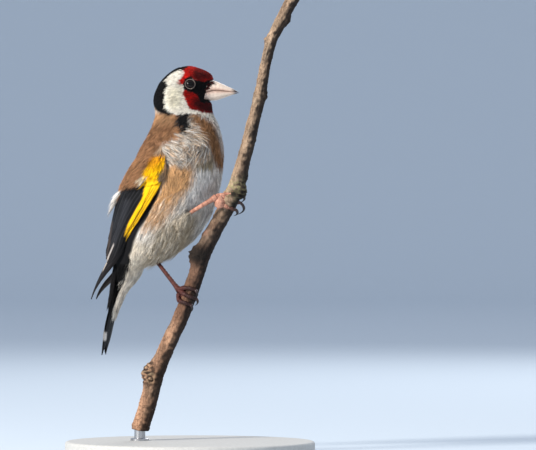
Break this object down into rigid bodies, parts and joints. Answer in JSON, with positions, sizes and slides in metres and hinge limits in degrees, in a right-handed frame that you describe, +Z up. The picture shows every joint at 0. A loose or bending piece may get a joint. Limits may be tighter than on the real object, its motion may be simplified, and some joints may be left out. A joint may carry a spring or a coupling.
{
  "type": "european goldfinch",
  "caption": "Life-size still model of a european goldfinch gripping a cut length of branch, held by a rod on a round display base.",
  "frame": {"origin": "centre of the underside of the stand's base", "axes": "+Z up, the head looks along +X, the bird's right side is turned to -Y"},
  "size_m": [0.1, 0.1, 0.1859],
  "materials": {
    "head_plumage": "soft feathers, red face, white cheek, black crown band",
    "body_plumage": "soft feathers, brown back and flanks, white belly",
    "wing_plumage": "black vanes with a yellow band",
    "tail_plumage": "black vanes with white spots",
    "bill": "satin horn, pinkish white with a dark tip",
    "eye": "wet gloss",
    "leg_skin": "scaled skin",
    "claw": "satin horn",
    "bark": "thin bark with knots",
    "stand_base": "plain matt disc",
    "stand_rod": "satin"
  },
  "bodies": {
    "root": {"head": "head_plumage", "bill_upper": "bill", "bill_lower": "bill", "eye_right": "eye", "eye_left": "eye", "neck": "body_plumage", "torso": "body_plumage", "thigh_right": "body_plumage", "thigh_left": "body_plumage", "wing_right": "wing_plumage", "wing_left": "wing_plumage", "tail": "tail_plumage", "shank_right": "leg_skin", "shank_left": "leg_skin", "foot_right": "leg_skin", "foot_left": "leg_skin", "claw_right_inner": "claw", "claw_right_middle": "claw", "claw_right_outer": "claw", "claw_right_hind": "claw", "claw_left_inner": "claw", "claw_left_middle": "claw", "claw_left_outer": "claw", "claw_left_hind": "claw", "perch": "bark", "stand_base": "stand_base", "stand_rod": "stand_rod"}
  },
  "joints": []
}
